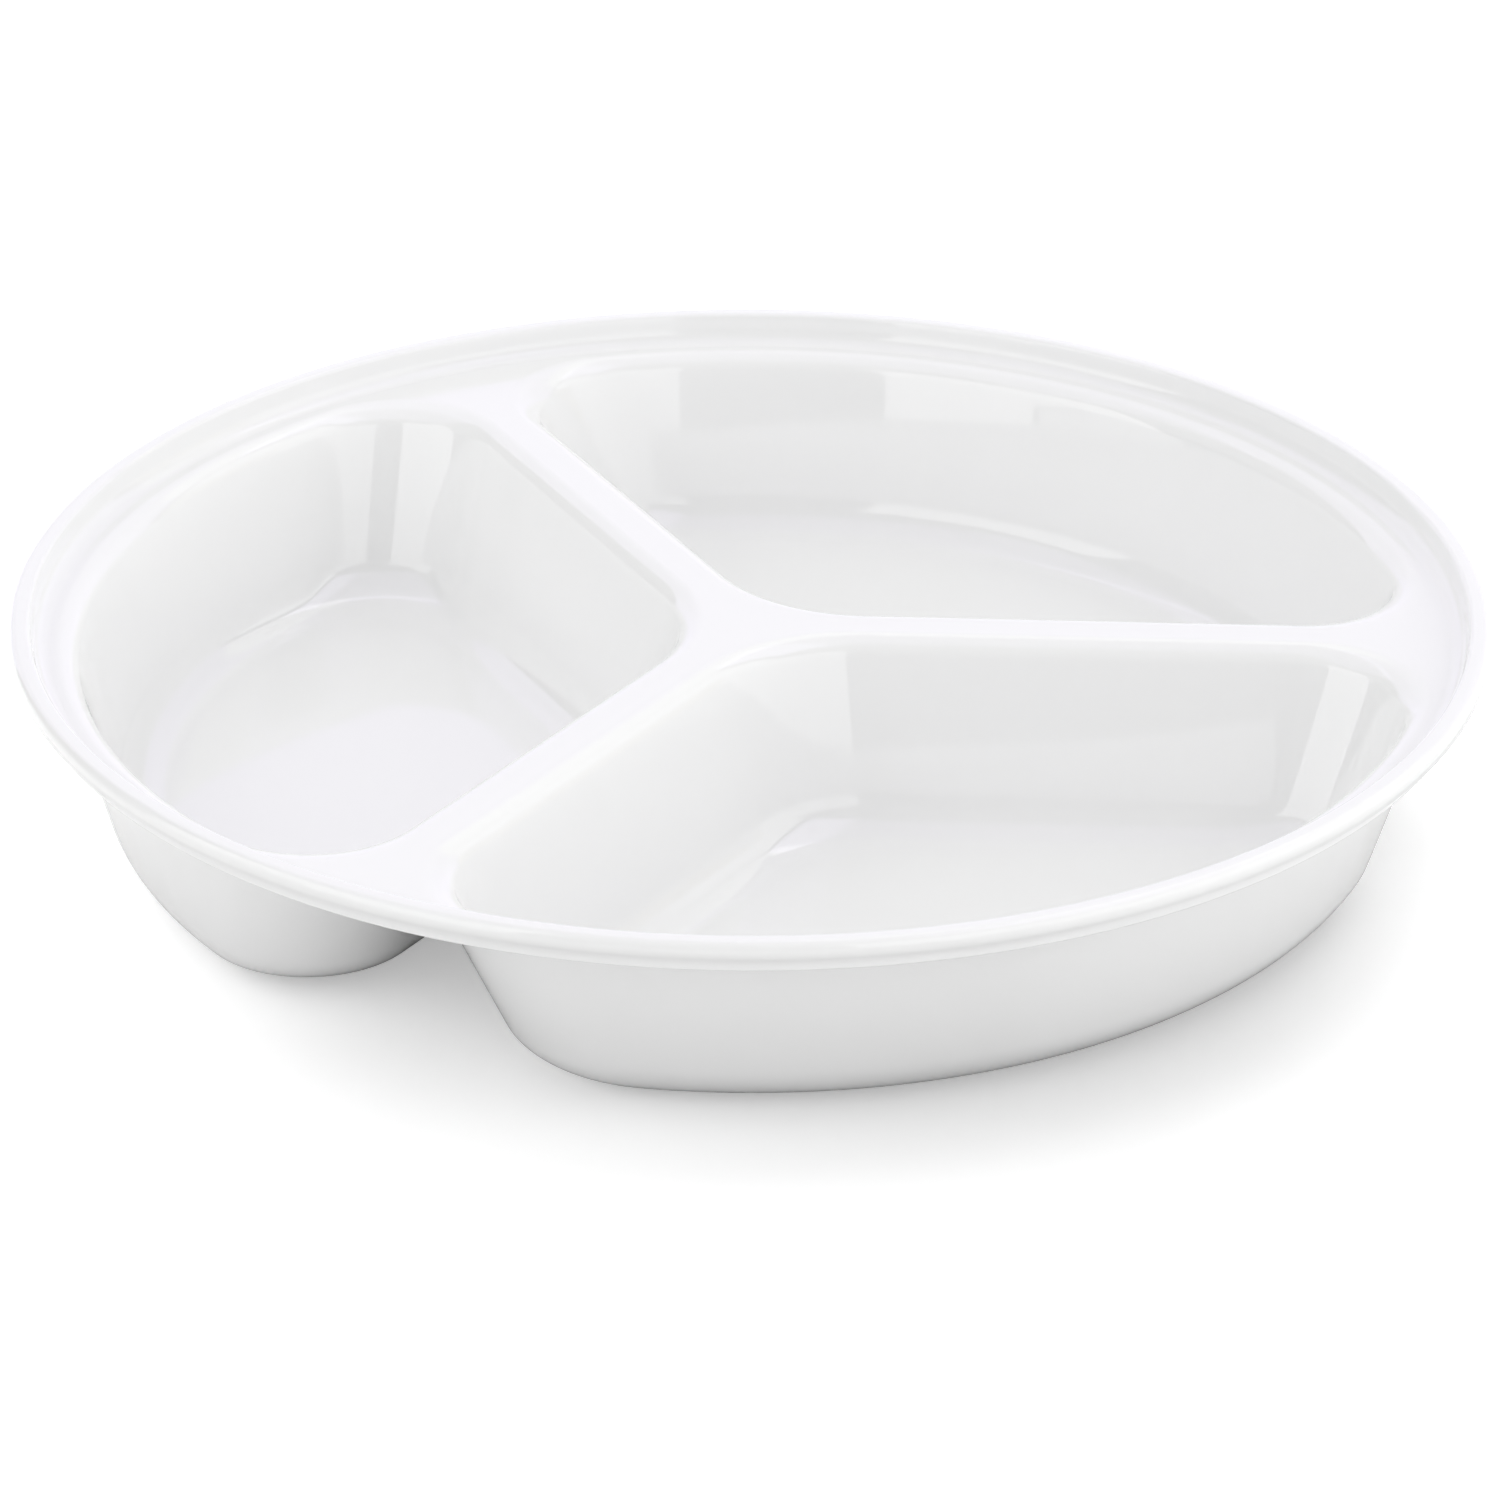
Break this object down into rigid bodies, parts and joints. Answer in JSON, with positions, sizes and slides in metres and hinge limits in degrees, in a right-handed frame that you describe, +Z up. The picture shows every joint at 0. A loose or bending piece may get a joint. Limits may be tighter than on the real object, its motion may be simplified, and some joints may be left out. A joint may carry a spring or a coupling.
{
  "type": "divided compartment plate",
  "caption": "Deep round plate with a raised stepped rim, flat-topped dividers and separate sector-shaped bowls that keep foods apart.",
  "frame": {"origin": "on the table under the middle of the plate, at the height of the undersides of the bowls' floors", "axes": "+Z up out of the plate along its axis, +X along one of the dividers from the middle outwards"},
  "size_m": [0.258, 0.258, 0.04],
  "materials": {
    "moulding": "glossy"
  },
  "bodies": {
    "root": {"rim": "moulding", "divider_deck": "moulding", "left_wall": "moulding", "left_floor": "moulding", "back_wall": "moulding", "back_floor": "moulding", "front_wall": "moulding", "front_floor": "moulding"}
  },
  "joints": []
}
